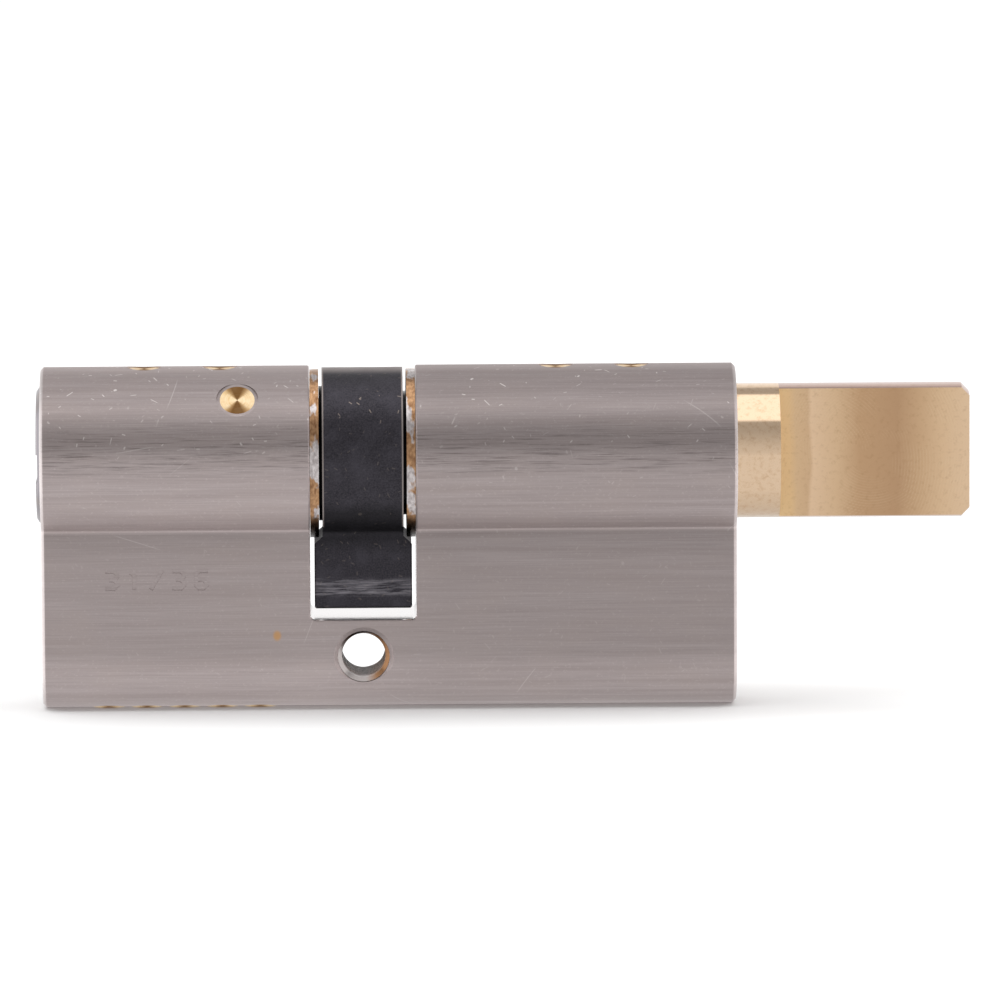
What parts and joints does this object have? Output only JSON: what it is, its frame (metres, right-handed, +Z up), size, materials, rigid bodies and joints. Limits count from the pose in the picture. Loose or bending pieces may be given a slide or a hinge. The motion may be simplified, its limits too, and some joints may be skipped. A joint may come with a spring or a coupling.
{
  "type": "euro-profile lock cylinder",
  "caption": "Euro-profile lock cylinder for a deadbolt: keyed turning plug at one end, central driving cam, and a brass spindle with a flat tang for a knob at the other.",
  "frame": {"origin": "centre of the fixing screw's hole, on the mid plane of the web and under the middle of the cam", "axes": "+X along the barrel from the keyed side to the tang, +Y along the fixing screw, +Z up from the web to the barrel"},
  "size_m": [0.09, 0.017, 0.033],
  "materials": {
    "nickel_plate": "nickel-plated brass, brushed satin",
    "brass": "turned and milled brass, bare",
    "worn_plate": "brass with worn nickel plating",
    "black_steel": "sintered steel, blackened",
    "bright_steel": "turned steel, bright",
    "spring_steel": "drawn spring wire",
    "pin_brass": "turned brass",
    "closing_brass": "turned brass, flat face"
  },
  "bodies": {
    "housing": {"housing": "nickel_plate", "chamber_plug_1": "closing_brass", "chamber_plug_2": "closing_brass", "chamber_plug_3": "closing_brass", "chamber_plug_4": "closing_brass", "chamber_plug_5": "closing_brass", "top_plug_1": "closing_brass", "top_plug_2": "closing_brass", "top_plug_3": "closing_brass", "top_plug_4": "closing_brass", "side_plug": "closing_brass", "driver_spring_1": "spring_steel", "driver_spring_2": "spring_steel", "driver_spring_3": "spring_steel", "driver_spring_4": "spring_steel", "driver_spring_5": "spring_steel"},
    "keyed_plug": {"keyed_plug": "nickel_plate", "plug_clip": "worn_plate"},
    "spindle": {"spindle": "brass", "spindle_clip": "worn_plate", "clutch_spring": "spring_steel"},
    "cam": {"cam": "black_steel"},
    "key_coupler": {"key_coupler": "bright_steel"},
    "turn_coupler": {"turn_coupler": "bright_steel"},
    "key_pin_1": {"key_pin_1": "pin_brass"},
    "driver_pin_1": {"driver_pin_1": "bright_steel"},
    "key_pin_2": {"key_pin_2": "pin_brass"},
    "driver_pin_2": {"driver_pin_2": "bright_steel"},
    "key_pin_3": {"key_pin_3": "pin_brass"},
    "driver_pin_3": {"driver_pin_3": "bright_steel"},
    "key_pin_4": {"key_pin_4": "pin_brass"},
    "driver_pin_4": {"driver_pin_4": "bright_steel"},
    "key_pin_5": {"key_pin_5": "pin_brass"},
    "driver_pin_5": {"driver_pin_5": "bright_steel"},
    "check_pin_1": {"check_pin_1": "bright_steel"},
    "check_pin_2": {"check_pin_2": "bright_steel"},
    "side_check_pin": {"side_check_pin": "bright_steel"}
  },
  "joints": [
    {"name": "plug_turn", "type": "hinge", "parent": "housing", "child": "keyed_plug", "pos_m": [0, 0, 0.01925], "axis": [1, 0, 0], "continuous": true},
    {"name": "spindle_turn", "type": "hinge", "parent": "housing", "child": "spindle", "pos_m": [0, 0, 0.01925], "axis": [1, 0, 0], "continuous": true},
    {"name": "cam_turn", "type": "hinge", "parent": "housing", "child": "cam", "pos_m": [0, 0, 0.01925], "axis": [1, 0, 0], "continuous": true},
    {"name": "key_coupler_slide", "type": "slide", "parent": "keyed_plug", "child": "key_coupler", "axis": [1, 0, 0], "range_m": [0, 0.0024], "stiffness_N_per_m": 500, "springref_m": -0.003},
    {"name": "turn_coupler_slide", "type": "slide", "parent": "spindle", "child": "turn_coupler", "axis": [1, 0, 0], "range_m": [0, 0.0024], "deforming": ["clutch_spring"]},
    {"name": "key_pin_1_slide", "type": "slide", "parent": "keyed_plug", "child": "key_pin_1", "axis": [0, 0, 1], "range_m": [0, 0.0012]},
    {"name": "driver_pin_1_slide", "type": "slide", "parent": "housing", "child": "driver_pin_1", "axis": [0, 0, -1], "range_m": [0, 0.0012], "stiffness_N_per_m": 250, "springref_m": -0.004, "deforming": ["driver_spring_1"]},
    {"name": "key_pin_2_slide", "type": "slide", "parent": "keyed_plug", "child": "key_pin_2", "axis": [0, 0, 1], "range_m": [0, 0.0012]},
    {"name": "driver_pin_2_slide", "type": "slide", "parent": "housing", "child": "driver_pin_2", "axis": [0, 0, -1], "range_m": [0, 0.0012], "stiffness_N_per_m": 250, "springref_m": -0.004, "deforming": ["driver_spring_2"]},
    {"name": "key_pin_3_slide", "type": "slide", "parent": "keyed_plug", "child": "key_pin_3", "axis": [0, 0, 1], "range_m": [0, 0.0012]},
    {"name": "driver_pin_3_slide", "type": "slide", "parent": "housing", "child": "driver_pin_3", "axis": [0, 0, -1], "range_m": [0, 0.0012], "stiffness_N_per_m": 250, "springref_m": -0.004, "deforming": ["driver_spring_3"]},
    {"name": "key_pin_4_slide", "type": "slide", "parent": "keyed_plug", "child": "key_pin_4", "axis": [0, 0, 1], "range_m": [0, 0.0012]},
    {"name": "driver_pin_4_slide", "type": "slide", "parent": "housing", "child": "driver_pin_4", "axis": [0, 0, -1], "range_m": [0, 0.0012], "stiffness_N_per_m": 250, "springref_m": -0.004, "deforming": ["driver_spring_4"]},
    {"name": "key_pin_5_slide", "type": "slide", "parent": "keyed_plug", "child": "key_pin_5", "axis": [0, 0, 1], "range_m": [0, 0.0012]},
    {"name": "driver_pin_5_slide", "type": "slide", "parent": "housing", "child": "driver_pin_5", "axis": [0, 0, -1], "range_m": [0, 0.0012], "stiffness_N_per_m": 250, "springref_m": -0.004, "deforming": ["driver_spring_5"]},
    {"name": "check_pin_1_slide", "type": "slide", "parent": "keyed_plug", "child": "check_pin_1", "axis": [0, 0, -1], "range_m": [0, 0.0005]},
    {"name": "check_pin_2_slide", "type": "slide", "parent": "keyed_plug", "child": "check_pin_2", "axis": [0, 0, -1], "range_m": [0, 0.0005]},
    {"name": "side_check_pin_slide", "type": "slide", "parent": "keyed_plug", "child": "side_check_pin", "axis": [0, 0.7071, -0.7071], "range_m": [0, 0.0005]}
  ],
  "couplings": [
    {"joint": "cam_turn", "follows": "spindle_turn", "ratio": 1},
    {"joint": "turn_coupler_slide", "follows": "key_coupler_slide", "ratio": 1}
  ]
}
